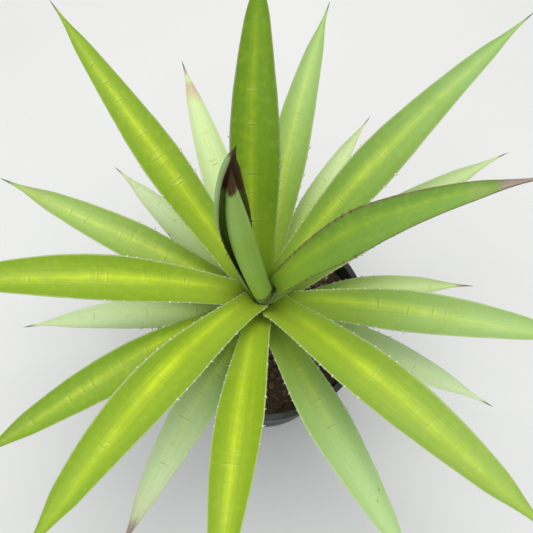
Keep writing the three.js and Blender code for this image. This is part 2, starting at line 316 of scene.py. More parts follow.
def leaf_faces(g, v, taken):
    """The upper face, brightened towards its foot with painted light, and the underside with its film of wax.
    """
    side = leaf_side(g, v, taken)
    bright = g.mix(v.pale, taken["Stripe"], taken["Pale stripe"])
    upper = g.mix(midstripe(g, v), side, bright)
    # painted light: the foot is mixed towards a bright lime, standing in for light that passes through the
    # leaves and lifts their shaded feet
    upper = g.mix(g.ease(v.share, 0.38, 0.08, 0, 0.42), upper, FOOT_PAINTED_LIGHT)
    plain = taken["Underside"]
    under = g.mix(g.ease(v.fine, 0.25, 0.8, 0, 0.5), plain, g.mix(0.5, side, plain))
    waxed = g.times(g.ease(v.cloud, 0.3, 0.75, 0.2, 1.0), g.value("bloom"))
    return g.mix(g.value("under"), upper, g.mix(waxed, under, BLUE_WAX))


def wax_share(g, v):
    """Wax gathers towards the tip and in patches."""
    wax = g.times(g.value("bloom"), g.ease(v.from_tip, 0.24, 0.03, 0.12, 0.75))
    patches = g.plus(v.cloud, g.times(v.broad, 0.4))
    return g.times(wax, g.ease(patches, 0.45, 0.85, 0.35, 1))


def wrinkles(g, v):
    """Fine wrinkles that break the midstripe up: their swell, and their depth with that of the creases."""
    swept = g.vector(g.times(v.off_stripe, 2.2), g.times(v.along, 150.0), v.offset)
    swell = g.noise(swept, 1.0, 2.0)
    thread = g.ease(g.maths("ABSOLUTE", g.minus(swell, 0.5)), 0.035, 0.004)
    near = g.times(g.ease(v.from_stripe, 0.55, 0.08), g.ease(v.broad, 0.4, 0.62))
    thread = g.times(g.times(thread, near), g.value("wrinkle"))
    return swell, g.maths("MAXIMUM", g.value("crease"), g.times(thread, 0.45))


def crease_shade_and_highlight(g, v, skin, crease):
    """Painted shade in the furrows and wrinkles, and a painted highlight on the lip."""
    skin = g.mix(g.times(crease, g.ease(v.pale, 0, 1, 0.28, 0.24)), skin, STREAK_AND_CREASE_SHADE)
    return g.mix(g.times(g.value("lip"), 0.26), skin, CREASE_LIP_HIGHLIGHT)


def blemished(g, v, skin):
    """Small spots in clusters, yellow on green skin and brown on pale skin."""
    place = g.vector(g.times(v.across, 2.6), g.times(v.along, 75.0), v.offset)
    cells = g.node("ShaderNodeTexVoronoi", place)
    cells.inputs["Scale"].default_value = 1.0
    dots = g.times(g.ease(cells.outputs["Distance"], 0.17, 0.09), g.value("spots"))
    dots = g.times(dots, g.ease(g.noise(g.position(), 21.0, 1.0), 0.5, 0.62))
    return g.mix(dots, skin, g.mix(v.pale, SPOT_YELLOW, SPOT_BROWN))


def dried(g, v, skin):
    """Pink flush, then the dried tip behind a ragged border. Gives the skin and the dried share."""
    ragged = g.times(g.minus(streaks(g, v, 5.0, 60.0), 0.5), 0.03)
    reach = g.minus(v.from_tip, ragged)
    blush = g.times(g.value("blush"), g.ease(reach, 0.075, 0.03))
    blush = g.times(blush, g.ease(v.cloud, 0.4, 0.55))
    skin = g.mix(g.times(blush, 0.75), skin, PINK)
    share = g.ease(g.minus(reach, g.value("dry")), 0.006, -0.003)
    bleached = g.mix(g.ease(v.hair, 0.35, 0.62), DRIED_DARK, DRIED)
    brown = g.mix(g.ease(v.hair, 0.35, 0.72), DRIED_BROWN, RUSSET)
    shade = g.mix(g.value("hooded"), bleached, brown)
    tone = g.mix(g.ease(v.from_tip, 0.003, 0.018), SPINE_BROWN, shade)
    return g.mix(share, skin, tone), share


def horned(g, v, skin):
    """The horny margin and the teeth, which have dark points."""
    ripple = g.noise(g.vector(0.0, g.times(v.along, 160.0), v.offset), 1.0, 2.0)
    browned = g.plus(g.value("brown"), g.times(g.minus(ripple, 0.5), 0.5), clamp=True)
    horn = g.mix(browned, HORN_WHITE, HORN_BROWN)
    point = g.ease(g.value("point"), 0.35, 0.85)
    horn = g.mix(g.times(point, 0.85), horn, g.mix(0.12, HORN_BROWN, HORN_WHITE))
    return g.mix(g.value("horn"), skin, horn)


def make_leaf_group():
    """Leaf skin: sides, midstripe, wax, underside, margins, creases with painted shade and a painted
    highlight, painted light at the foot, blush, dried tip and blemishes.
    """
    tree, g, taken, given = new_group(
        "agave_leaf_skin",
        {
            "Lime": (0.29, 0.42, 0.008, 1),
            "Cool": (0.17, 0.35, 0.08, 1),
            "Pale": (0.61, 0.79, 0.39, 1),
            "Stripe": (0.6, 0.74, 0.015, 1),
            "Pale stripe": (0.74, 0.88, 0.38, 1),
            "Underside": (0.2, 0.35, 0.09, 1),
        },
        {"Colour": "NodeSocketColor", "Roughness": "NodeSocketFloat", "Height": "NodeSocketFloat"},
    )
    v = leaf_values(g)
    wax = wax_share(g, v)
    swell, crease = wrinkles(g, v)
    skin = g.mix(wax, leaf_faces(g, v, taken), BLUE_WAX)
    skin = blemished(g, v, crease_shade_and_highlight(g, v, skin, crease))
    skin, dry_share = dried(g, v, skin)
    g.feed(given["Colour"], horned(g, v, skin))

    rough = g.ease(v.fine, 0.25, 0.8, 0.4, 0.54)
    rough = g.plus(rough, g.times(wax, 0.16))
    rough = g.plus(rough, g.times(dry_share, 0.28))
    g.feed(given["Roughness"], g.plus(rough, g.times(g.value("under"), 0.08)))

    ribs = g.plus(g.times(v.fine, 0.4), g.times(v.hair, 0.2))
    ribs = g.plus(ribs, g.times(g.noise(g.position(), 900.0, 2.0), 0.12))
    ribs = g.plus(ribs, g.times(swell, g.times(g.value("wrinkle"), 1.1)))
    ribs = g.plus(ribs, g.times(g.times(v.hair, dry_share), 1.5))
    g.feed(given["Height"], g.minus(ribs, g.times(crease, 1.1)))
    return tree


def make_leaf_material(name, group, **palette):
    material, g, shader = new_material(name)
    skin = g.group(group, **palette)
    finish(g, shader, skin["Colour"], skin["Roughness"], bumped(g, skin["Height"], 0.35 * MM))
    shader["Specular IOR Level"].default_value = 0.28
    return material


def make_grit_group():
    """Crumbs and dust: a colour between two tones, and a height."""
    tree, g, taken, given = new_group(
        "grit",
        {"Dark": (0.03, 0.018, 0.01, 1), "Light": (0.14, 0.085, 0.05, 1), "Scale": 140.0},
        {"Colour": "NodeSocketColor", "Height": "NodeSocketFloat", "Mask": "NodeSocketFloat"},
    )
    place = g.position()
    lumps = g.noise(place, taken["Scale"], 6.0, 0.65)
    crumbs = g.noise(place, g.times(taken["Scale"], 6.0), 3.0, 0.6)
    both = g.plus(g.times(lumps, 0.65), g.times(crumbs, 0.35))
    g.feed(given["Mask"], g.ease(both, 0.42, 0.6))
    g.feed(given["Colour"], g.mix(g.ease(both, 0.35, 0.66), taken["Dark"], taken["Light"]))
    g.feed(given["Height"], both)
    return tree


def make_pot_material(grit):
    """Black moulded plastic, satin, with fine mould lines, scuffs and a dusting of mix near the rim."""
    material, g, shader = new_material("pot_plastic")
    place = g.position()
    x, y, z = (g.node("ShaderNodeSeparateXYZ", place).outputs[i] for i in range(3))
    dust = g.group(grit, dark=(0.03, 0.026, 0.022, 1), light=(0.13, 0.1, 0.075, 1), scale=60.0)
    swept = g.vector(g.times(x, 40.0), g.times(y, 40.0), g.times(z, 260.0))
    scuffs = g.noise(swept, 1.0, 5.0, 0.6)
    base = g.mix(g.ease(scuffs, 0.5, 0.75, 0, 0.5), (0.018, 0.018, 0.019, 1), (0.045, 0.045, 0.047, 1))
    low = g.ease(z, 0.03, 0.0, 0, 0.45)
    high = g.ease(z, pot_high.z - 0.028, pot_high.z, 0, 0.35)
    dusty = g.times(g.plus(low, high), dust["Mask"])
    satin = g.ease(scuffs, 0.35, 0.7, 0.42, 0.58)
    mould_lines = g.times(g.maths("SINE", g.times(z, 6200.0)), 0.04)
    normal = bumped(g, g.plus(mould_lines, g.times(scuffs, 0.4)), 0.25 * MM)
    rough = g.plus(satin, g.times(dusty, 0.3))
    finish(g, shader, g.mix(dusty, base, dust["Colour"]), rough, normal)
    return material


def make_mix_material(grit):
    """Dark bark and coir, with each chip a shade of its own."""
    material, g, shader = new_material("bark_mix")
    crumb = g.group(grit, dark=(0.02, 0.012, 0.007, 1), light=(0.12, 0.068, 0.036, 1), scale=170.0)
    tone = g.value("tone")
    chip = g.mix(g.ease(tone, 0.0, 0.9), (0.035, 0.019, 0.011, 1), (0.23, 0.13, 0.07, 1))
    colour = g.mix(g.times(g.ease(tone, 0.02, 0.1), 0.7), crumb["Colour"], chip)
    stone = g.ease(tone, 0.93, 0.96)
    colour = g.mix(stone, colour, g.mix(crumb["Mask"], (0.36, 0.34, 0.3, 1), (0.62, 0.6, 0.55, 1)))
    rough = g.ease(crumb["Mask"], 0, 1, 0.78, 0.95)
    finish(g, shader, colour, rough, bumped(g, crumb["Height"], 1.2 * MM))
    return material


def make_stem_material():
    """Short stem: pale green flesh between the leaf feet, corky brown lower down, ringed by old scars."""
    material, g, shader = new_material("scarred_stem")
    place = g.position()
    z = g.node("ShaderNodeSeparateXYZ", place).outputs[2]
    patch = g.noise(place, 90.0, 5.0, 0.6)
    drawn_up = g.node("ShaderNodeMapping", place, None, None, (500.0, 500.0, 60.0)).outputs[0]
    fibre = g.noise(drawn_up, 1.0, 3.0)
    height = g.plus(z, g.times(g.minus(patch, 0.5), 0.03))
    green = g.ease(height, mix_high.z + 0.02, stem_high.z - 0.03)
    cork = g.mix(g.ease(fibre, 0.35, 0.7), (0.07, 0.042, 0.024, 1), (0.27, 0.19, 0.11, 1))
    flesh = g.mix(g.ease(fibre, 0.3, 0.75), (0.2, 0.3, 0.07, 1), (0.42, 0.5, 0.2, 1))
    rough = g.ease(patch, 0.3, 0.7, 0.6, 0.85)
    finish(g, shader, g.mix(green, cork, flesh), rough, bumped(g, g.plus(fibre, patch), 0.6 * MM))
    return material


def make_floor_material():
    material, g, shader = new_material("pale_floor")
    cloud = g.noise(g.position(), 2.5, 2.0)
    g.feed(shader["Base Color"], g.mix(cloud, (0.7, 0.69, 0.67, 1), (0.76, 0.755, 0.74, 1)))
    shader["Roughness"].default_value = 0.85
    return material


# ---- meshes ----


class Skin:
    """Points, faces and per-point values of one piece, collected and then made into an object."""

    def __init__(self):
        self.points, self.faces, self.values = [], [], {}
        self.count = 0

    def add(self, points, faces, **values):
        """Adds points and faces. Each value is one number for all the points, or one for each."""
        n = len(points)
        self.points.append(np.asarray(points, float))
        self.faces += [tuple(i + self.count for i in face) for face in faces]
        for name in sorted(set(self.values) | set(values)):
            parts = self.values.setdefault(name, [np.zeros(self.count)] if self.count else [])
            parts.append(np.broadcast_to(np.asarray(values.get(name, 0.0), float), (n,)))
        self.count += n

    def build(self, name, materials, smooth=True):
        mesh = bpy.data.meshes.new(name)
        mesh.from_pydata(np.concatenate(self.points).tolist(), [], self.faces)
        mesh.validate()
        for key, parts in self.values.items():
            layer = mesh.attributes.new(key, "FLOAT", "POINT")
            layer.data.foreach_set("value", np.concatenate(parts).astype(np.float32))
        for material in materials:
            mesh.materials.append(material)
        mesh.polygons.foreach_set("use_smooth", [smooth] * len(mesh.polygons))
        made = bpy.data.objects.new(name, mesh)
        bpy.context.scene.collection.objects.link(made)
        return made


def tube_faces(rings, around):
    """Quads over rings of points, with an n-gon on each end."""
    faces = []
    for r in range(rings - 1):
        for i in range(around):
            j = (i + 1) % around
            faces.append((r * around + i, r * around + j, (r + 1) * around + j, (r + 1) * around + i))
    ends = [tuple(reversed(range(around))), tuple(range((rings - 1) * around, rings * around))]
    return faces + ends


def smooth_through(knots, values, at):
    """A smooth curve through the values at the knots, read at other places."""
    knots, values, at = np.asarray(knots, float), np.asarray(values, float), np.asarray(at, float)
    slopes = np.gradient(values, knots, axis=0)
    i = np.clip(np.searchsorted(knots, at) - 1, 0, len(knots) - 2)
    span = knots[i + 1] - knots[i]
    t = (at - knots[i]) / span
    if values.ndim > 1:
        span, t = span[:, None], t[:, None]
    start = (2 * t**3 - 3 * t**2 + 1) * values[i] + (t**3 - 2 * t**2 + t) * span * slopes[i]
    end = (3 * t**2 - 2 * t**3) * values[i + 1] + (t**3 - t**2) * span * slopes[i + 1]
    return start + end


def step(x, low, high):
    """A smooth step from 0 at low to 1 at high."""
    t = np.clip((np.asarray(x, float) - low) / (high - low), 0, 1)
    return t * t * (3 - 2 * t)


def unit(rows):
    return rows / np.maximum(np.linalg.norm(rows, axis=-1, keepdims=True), 1e-12)


def squared(across, along):
    """The across directions made square to the along directions."""
    return unit(across - along * np.sum(across * along, axis=1, keepdims=True))


def travelled(path):
    """Distance along a path, from 0 at its first point."""
    return np.concatenate([[0], np.cumsum(np.linalg.norm(np.diff(path, axis=0), axis=1))])


def between(ends, share):
    """The value that lies a share of the way from the first of two ends to the second."""
    return ends[0] + (ends[1] - ends[0]) * share


def welded(node):
    """A node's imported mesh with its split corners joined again."""
    bm = bmesh.new()
    bm.from_mesh(frame["nodes"][node].data)
    bmesh.ops.remove_doubles(bm, verts=bm.verts, dist=0.02 * MM)
    bmesh.ops.recalc_face_normals(bm, faces=bm.faces)
    bm.normal_update()
    return bm


# ---- the shape of a packed leaf ----

SHARP = math.cos(math.radians(100))  # two faces that meet in a margin turn by more than this
STRAIGHT_ON = math.cos(math.radians(28))  # a margin bends by less than this from one point to the next
SKEWED = 0.28  # cosine between a chord and the leaf's middle line that shows where the foot is cut


def is_margin(edge):
    return len(edge.link_faces) == 2 and edge.link_faces[0].normal.dot(edge.link_faces[1].normal) < SHARP


def follow_margin(tip, edge):
    """The points of one margin, from the tip down to where the leaf's foot has been cut."""
    points = [tip.co.copy()]
    here, way = edge.other_vert(tip), None
    while True:
        points.append(here.co.copy())
        way = (points[-1] - points[-2]).normalized()
        onward = [e for e in here.link_edges if is_margin(e)]
        onward = [(way.dot((e.other_vert(here).co - here.co).normalized()), e) for e in onward]
        onward = [pair for pair in onward if pair[0] > STRAIGHT_ON]
        if not onward:
            return points
        here = max(onward, key=lambda pair: pair[0])[1].other_vert(here)


def margins(bm):
    """The two margins of a packed leaf from its tip down, the counter-clockwise one first."""
    tip = max(bm.verts, key=lambda v: (v.co - CROWN).length)
    sides = [follow_margin(tip, e) for e in tip.link_edges if is_margin(e)]
    first, second = sorted(sides, key=len)[-2:]
    centre = sum((v.co for v in bm.verts), Vector()) / len(bm.verts)
    leftward = UP.cross(Vector((centre.x, centre.y, 0)))
    if (first[3] - second[3]).dot(leftward) < 0:
        return second, first
    return first, second


def chords(first, second):
    """Middle, half length and direction of the chords between two margins, down to the cut foot."""
    middles, halves, acrosses = [], [], []
    for left, right in zip(first, second):
        chord = left - right
        middle = (left + right) / 2
        if middles and abs(chord.normalized().dot((middle - middles[-1]).normalized())) > SKEWED:
            break
        middles.append(middle)
        halves.append(chord.length / 2)
        acrosses.append(chord.normalized() if chord.length > 0 else None)
    acrosses[0] = acrosses[1]
    return (np.array([list(v) for v in middles]), np.array(halves), np.array([list(v) for v in acrosses]))


def depths(tree, path, normal):
    """Depth of the channel under each chord, and the blade's thickness under that."""
    channels, thicknesses = [0.0], [0.0]
    for middle, up in zip(path[1:], normal[1:]):
        down = Vector(-up)
        floor_hit = tree.ray_cast(Vector(middle + up * 0.1 * MM), down)[0]
        keel_hit = tree.ray_cast(floor_hit + down * 0.05 * MM, down)[0] if floor_hit else None
        channels.append((floor_hit - Vector(middle)).length if floor_hit else channels[-1])
        thicknesses.append((keel_hit - floor_hit).length if keel_hit else thicknesses[-1])
    return np.array(channels), np.array(thicknesses)


def read_leaf(node):
    """Stations of a packed leaf from its tip down: middle, across, half width, channel and thickness."""
    bm = welded(node)
    tree = BVHTree.FromBMesh(bm)
    path, half, across = chords(*margins(bm))
    travel = travelled(path)
    along = -unit(np.gradient(path, travel, axis=0))
    across = squared(across, along)
    channel, thickness = depths(tree, path, np.cross(along, across))
    return {
        "tree": tree,
        "travel": travel,
        "path": path,
        "along": along,
        "across": across,
        "half": half,
        "channel": channel,
        "thickness": thickness,
    }


def extended_to_foot(leaf):
    """The stations turned to run from the foot, with the cut foot drawn on to the stem's axis."""
    path, along = leaf["path"][::-1], leaf["along"][::-1]
    first = path[0]
    heading = -along[0]
    flat = heading[:2]
    reach = -float(np.dot(first[:2], flat)) / max(float(np.dot(flat, flat)), 1e-6)
    reach = min(max(reach, 12 * MM), 110 * MM) - 4 * MM
    added = np.linspace(reach, 0, 5)[:-1]
    widest = leaf["half"].max()
    share = added / reach
    feet = {
        "path": first + heading * added[:, None],
        "along": np.repeat(along[:1], len(added), axis=0),
        "across": np.repeat(leaf["across"][-1:], len(added), axis=0),
        "half": leaf["half"][-1] + (0.56 * widest - leaf["half"][-1]) * share,
        "channel": leaf["channel"][-1] * (1 + 0.1 * share),
        "thickness": leaf["thickness"][-1] * (1 + 0.25 * share),
    }
    whole = {key: np.concatenate([feet[key], leaf[key][::-1]]) for key in feet}
    whole["place"] = np.concatenate([reach - added, reach + leaf["travel"][-1] - leaf["travel"][::-1]])
    whole["cut"] = reach
    whole["tree"] = leaf["tree"]
    return whole


# ---- fine leaves ----

COLUMNS = 20  # across each face of a leaf
STATION = 3.0 * MM  # from one ring of points to the next
EDGE = 0.8 * MM  # thickness of the horny margin
NEEDLE = 15 * MM  # length of the hard terminal spine
CREASE_GAP = 4.5 * MM  # creases keep this far apart
CREASE_WIDTH = 0.6 * MM
LIP_PLACE = 1.5 * MM  # from a crease's bottom to the top of its lip
LIP_WIDTH = 0.9 * MM
TOOTHED = 0.47  # share of the leaf that has teeth
TOOTH_SPACING = (3.5, 10.0)  # millimetres, near the foot
TOOTH_LENGTH = (1.6, 3.2)  # millimetres, near the foot


def crease_places(rng, length, cut, count, middles):
    """Each crease's place, centre across the leaf, strength, width, bow, slant and wave phase."""
    creases = []
    for _ in range(count):
        share = rng.uniform(0.02, 0.8)
        place = cut + (length - cut) * share
        if all(abs(place - other[0]) > CREASE_GAP for other in creases):
            centre = between(middles, share) + rng.uniform(-0.12, 0.12)
            strength, width = rng.uniform(0.35, 1.0), rng.uniform(0.14, 0.42)
            bow, slant = rng.uniform(-4, 4) * MM, rng.uniform(-2.5, 2.5) * MM
            creases.append((place, centre, strength, width, bow, slant, rng.uniform(0, math.tau)))
    return sorted(creases)


def crease_at(creases, along, across):
    """Depth of the creases, from 0 to 1, and the raised lip on their far side."""
    furrow, lip = np.zeros_like(along), np.zeros_like(along)
    for place, centre, strength, width, bow, slant, phase in creases:
        side = across - centre
        away = along - place - bow * side**2 - slant * side - 0.45 * MM * np.sin(13 * side + phase)
        reach = strength * (1 - step(np.abs(side), 0.35 * width, width))
        furrow = np.maximum(furrow, reach * np.exp(-((away / CREASE_WIDTH) ** 2)))
        lip = np.maximum(lip, reach * np.exp(-(((away - LIP_PLACE) / LIP_WIDTH) ** 2)))
    return furrow, lip


def quilting(stations, u, seed):
    """Low swellings across a leaf's face, from -1 to 1."""
    rows = [[noise.noise((s * 95, x * 1.6, seed)) for x in u] for s in stations]
    return np.array(rows)


def add_tooth(skin, foot, out, ahead, face, size, hook, **values):
    """A curved prickle with an oval foot, standing on the margin and hooked along it."""
    rings, around = 5, 6
    points, middle = [], np.array(foot) - out * 0.25 * size
    for r in range(rings):
        share = r / (rings - 1)
        turn = hook * share * 1.3
        way = out * math.cos(turn) + ahead * math.sin(turn)
        if r:
            middle = middle + way * size / (rings - 1)
        broad = size * 0.34 * (1 - share) ** 1.6 + 0.09 * MM
        thick = size * 0.16 * (1 - share) + 0.09 * MM
        sideways = unit(np.cross(face, way))
        for i in range(around):
            angle = 2 * math.pi * i / around
            points.append(middle + sideways * broad * math.cos(angle) + face * thick * math.sin(angle))
    points_share = np.repeat(np.linspace(0, 1, rings), around)
    skin.add(points, tube_faces(rings, around), horn=1.0, point=points_share, **values)


def add_teeth(skin, rng, leaf, stations, lie, half, pale, **values):
    """Teeth on both margins: small and close near the foot, larger and further apart towards mid-leaf."""
    path, along, across, normal = lie
    length, cut = leaf["place"][-1], leaf["cut"]
    for side in (-1, 1):
        here = cut * 0.75
        while here < length * TOOTHED:
            grown = float(step(here, cut * 0.5, length * 0.45))
            here += rng.uniform(*TOOTH_SPACING) * MM * (1 + 0.9 * grown)
            k = int(np.searchsorted(stations, here))
            if k >= len(stations) - 1:
                break
            out = across[k] * side
            foot = path[k] + out * half[k]
            size = rng.uniform(*TOOTH_LENGTH) * MM * (1 + 0.6 * grown)
            hook = rng.choice((-1, 1, 1)) * rng.uniform(0.3, 1.2)
            add_tooth(
                skin, foot, out, along[k], normal[k], size, hook,
                along=here, from_tip=length - here, across=side, pale=pale[k], **values,
            )


def leaf_stations(length, creases):
    """Where along a leaf its rings of points lie: evenly, and closer at the needle and over each crease."""
    stations = list(np.arange(0, length - 24 * MM, STATION))
    stations += list(np.linspace(length - 23 * MM, length - 0.3 * MM, 16))
    for crease in creases:
        stations = [s for s in stations if abs(s - crease[0]) > 1.3 * MM]
        stations += [crease[0] + shift * MM for shift in (-1.3, -0.5, 0.0, 0.5, 1.3, 2.2)]
    return np.array(sorted(s for s in stations if 0 <= s < length))


def leaf_lie(leaf, stations):
    """Middle, along, across and normal of the leaf at its stations."""
    keys = ("path", "along", "across")
    path, along, across = (smooth_through(leaf["place"], leaf[key], stations) for key in keys)
    along = unit(along)
    across = squared(across, along)
    return path, along, across, np.cross(along, across)


def leaf_section(leaf, stations, rng, name):
    """Half width, thickness and channel at the stations. The tip draws in to a needle, round in section."""
    place = leaf["place"]
    left_over = place[-1] - stations
    half = np.maximum(smooth_through(place, leaf["half"], stations), 0.1 * MM)
    half = half * (0.4 + 0.6 * step(left_over, 0.5 * NEEDLE, 4 * NEEDLE))
    wave = np.array([noise.noise((s * 45, rng.random() * 0.01, len(name))) for s in stations])
    half = half * (1 + 0.012 * wave * step(left_over, NEEDLE, 3 * NEEDLE))
    thickness = np.minimum(np.interp(stations, place, leaf["thickness"]), 2.1 * half + 0.2 * MM)
    channel = np.interp(stations, place, leaf["channel"])
    return half, thickness, channel * step(left_over, 0.3 * NEEDLE, 2.2 * NEEDLE)


def ring_of(top, one_rim, bottom, other_rim):
    """Rings over the upper face, a margin, the underside and the other margin, with their faces outward."""
    return np.concatenate([top, one_rim, bottom[:, ::-1], other_rim], axis=1)[:, ::-1]


def ring_values(top, rim_value, bottom):
    """A value for each point of the rings, with one number for the margins."""
    rim = np.full((len(top), 1), float(rim_value))
    return ring_of(top, rim, bottom, rim).ravel()


def blade_rings(lie, section, u, dent):
    """Rings of points round the blade: the channelled and dented face above, and the keel below."""
    path, _, across, normal = lie
    half, thickness, channel = section
    open_share = 1 - u**2
    edge = np.minimum(EDGE, 0.5 * thickness)[:, None]
    sunk = -channel[:, None] * open_share
    upper = sunk - dent + 0.5 * edge
    lower = sunk - 0.5 * edge - np.maximum(thickness[:, None] - edge, 0) * open_share**0.9

    def placed(side, height):
        aside = across[:, None, :] * side[..., None]
        return path[:, None, :] + aside + normal[:, None, :] * height[..., None]

    sides = half[:, None] * u
    rim = half[:, None] + 0.35 * edge
    level = np.zeros_like(rim)
    rings = ring_of(placed(sides, upper), placed(rim, level), placed(sides, lower), placed(-rim, level))
    return np.ascontiguousarray(rings)


def margin_share(u, brown):
    """How horny the skin is across the leaf: only at its rim, and further in where it is very brown."""
    start = 0.965 - 0.25 * max(brown - 0.6, 0)
    return min(0.45 + 0.5 * brown, 1.0) * step(np.abs(u), start, 1.0)


def make_leaf(name, traits, material):
    """One leaf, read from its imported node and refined."""
    traits = {**USUAL, **traits}
    rng = random.Random(name)
    leaf = extended_to_foot(read_leaf(name))
    length, cut = leaf["place"][-1], leaf["cut"]
    creases = crease_places(rng, length, cut, traits["creases"], traits["place"])
    stations = leaf_stations(length, creases)
    lie = leaf_lie(leaf, stations)
    section = leaf_section(leaf, stations, rng, name)
    u = np.linspace(-1, 1, COLUMNS + 1)
    u = np.sin(u * math.pi / 2) * 0.35 + u * 0.65  # closer together at the margins
    place_grid, across_grid = np.meshgrid(stations, u, indexing="ij")
    furrow, lip = crease_at(creases, place_grid, across_grid)
    swells = quilting(stations, u, len(name) + rng.random() * 9) * (1 - u**4)
    dent = (0.5 * furrow - 0.16 * lip - 0.45 * traits["wrinkle"] * swells) * MM
    rings = blade_rings(lie, section, u, dent)
    hold_to_frame(rings, stations, leaf)

    shared = {key: traits[key] for key in ALL_OVER}
    shared.update(seed=rng.random(), hooded=float(traits["hood"] > 0))
    dry, hood = traits["dry"] * MM, max(traits["dry"], traits["hood"]) * MM
    share = np.clip((stations - cut) / (length - cut), 0, 1)
    pale = between(traits["pale"], step(share, 0.08, 0.75))
    blank = np.zeros_like(furrow)
    margin = np.broadcast_to(margin_share(u, traits["brown"]), furrow.shape)
    around = rings.shape[1]
    skin = Skin()
    skin.add(
        rings.reshape(-1, 3),
        tube_faces(len(rings), around),
        across=ring_values(across_grid, 0.0, across_grid),
        along=np.repeat(stations, around),
        from_tip=np.repeat(length - stations, around),
        pale=np.repeat(pale, around),
        stripe_place=np.repeat(between(traits["place"], share), around),
        dry=ring_values(blank + hood, hood, blank + dry),
        under=ring_values(blank, 0.5, blank + 1),
        crease=ring_values(furrow, 0.0, blank),
        lip=ring_values(lip, 0.0, blank),
        horn=ring_values(margin, 0.75, margin * 0.6),
        **shared,
    )
    add_teeth(skin, rng, leaf, stations, lie, section[0], pale, dry=dry, **shared)
    made = skin.build(name + "_fine", [material])
    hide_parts(name)
    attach(made, "root")


def hold_to_frame(rows, stations, leaf):
    """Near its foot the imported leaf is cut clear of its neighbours: points outside it are drawn onto it."""
    fade = 26 * MM
    for k, here in enumerate(stations):
        hold = 1 - float(step(here, leaf["cut"], leaf["cut"] + fade))
        if hold <= 0:
            break
        for i in range(rows.shape[1]):
            point = Vector(rows[k, i])
            near, face = leaf["tree"].find_nearest(point)[:2]
            if near is not None and (point - near).dot(face) > 0:
                rows[k, i] = point.lerp(near, hold)


# ---- spear ----


ROLL_START = math.radians(195)  # where the outer margin lies
LAYER = 0.13  # how far the roll draws in over one turn, as a share of its radius


def read_spear():
    """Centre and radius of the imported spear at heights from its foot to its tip."""
    bm = welded("spear_leaf")
    low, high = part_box("spear_leaf")
    levels = [*np.linspace(low.z + 0.05 * MM, high.z - 30 * MM, 14), high.z - 14 * MM]
    centres, radii = [], []
    for level in levels:
        hits = []
        for e in bm.edges:
            a, b = e.verts[0].co, e.verts[1].co
            if (a.z - level) * (b.z - level) < 0:
                hits.append(a.lerp(b, (level - a.z) / (b.z - a.z)))
        middle = sum(hits, Vector()) / len(hits)
        centres.append(list(middle))
        radii.append(sum((h - middle).length for h in hits) / len(hits))
    tip = max(bm.verts, key=lambda v: v.co.z).co
    centres.append(list(tip))
    radii.append(0.0)
    return np.array(centres), np.array(radii)


def roll(path, radius, along, stations, turn):
    """Rings of points round the rolled leaf, whose outer margin steps down to the layer that it covers."""
    angles = ROLL_START + 2 * math.pi * turn
    layer = 1 - LAYER * turn + LAYER * step(turn, 0.955, 1.0)
    rows = []
    for k, here in enumerate(stations):
        side = unit(np.cross(along[k], np.array([0.0, 1.0, 0.0])))
        other = np.cross(along[k], side)
        bulge = 1 + 0.05 * np.sin(2 * angles + here * 9)
        turned_to = angles + here * 1.6
        spokes = side[None] * np.cos(turned_to)[:, None] + other[None] * np.sin(turned_to)[:, None]
        rows.append(path[k] + spokes * (radius[k] * layer * bulge)[:, None])
    return np.array(rows).reshape(-1, 3)


def make_spear(material):
    """The newest leaf: rolled up, with one margin lapped over the other down its front, and a brown hood."""
    centres, radii = read_spear()
    travel = travelled(centres)
    length = travel[-1]
    blade = np.linspace(0, length - 40 * MM, 64)
    stations = np.concatenate([blade, np.linspace(length - 38 * MM, length - 0.4 * MM, 22)])
    path = smooth_through(travel, centres, stations)
    radius = np.interp(stations, travel, radii)
    radius = np.convolve(np.pad(radius, 3, mode="edge"), np.ones(7) / 7, mode="valid")
    radius = np.minimum(radius, 0.5 * MM + 0.3 * (length - stations))
    along = unit(np.gradient(path, stations, axis=0))
    around = 40
    turn = np.linspace(0, 1, around, endpoint=False)
    lap = np.tile(turn * 2 - 1, len(stations))
    skin = Skin()
    skin.add(
        roll(path, radius, along, stations, turn),
        tube_faces(len(stations), around),
        across=lap,
        along=np.repeat(stations, around),
        from_tip=np.repeat(length - stations, around),
        # under at 0.6 lets the upper face's darker flanks show on the part of the roll next to the lap:
        # painted shade down that side of the spear
        under=0.6,
        horn=0.8 * step(np.abs(lap), 0.93, 0.99),
        seed=0.37,
        pale=0.05,
        cool=0.35,
        bloom=0.3,
        brown=0.75,
        dry=34 * MM,
        hooded=1.0,
    )
    made = skin.build("spear_fine", [material])
    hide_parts("spear_leaf")
    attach(made, "root")


# ---- pot, mix and stem ----


AXIS_GAP = 0.4 * MM  # a turned piece's first and last points lie this far from the axis


def turned_tree(node):
    """A packed round piece, to be asked for its radius."""
    return BVHTree.FromBMesh(welded(node))


def radius_at(tree, z):
    """How far a packed round piece reaches from the Z axis at a height."""
    return tree.ray_cast(Vector((1.0, 0.0005, z)), Vector((-1, 0, 0)))[0].x


def turned(profile, around, wobble=None):
    """Points and faces of a piece turned about Z from (radius, height) points that end near the axis."""
    angles = np.linspace(0, 2 * math.pi, around, endpoint=False)
    rows = []
    for k, (r, z) in enumerate(profile):
        for a in angles:
            out, up = wobble(k, a, r, z) if wobble else (0, 0)
            rows.append(((r + out) * math.cos(a), (r + out) * math.sin(a), z + up))
    return rows, tube_faces(len(profile), around)


def arc(centre, radius, start, end, steps):
    """Points of an arc in the (radius, height) plane, between two angles in degrees."""
    angles = [math.radians(a) for a in np.linspace(start, end, steps)]
    return [(centre[0] + radius * math.cos(a), centre[1] + radius * math.sin(a)) for a in angles]


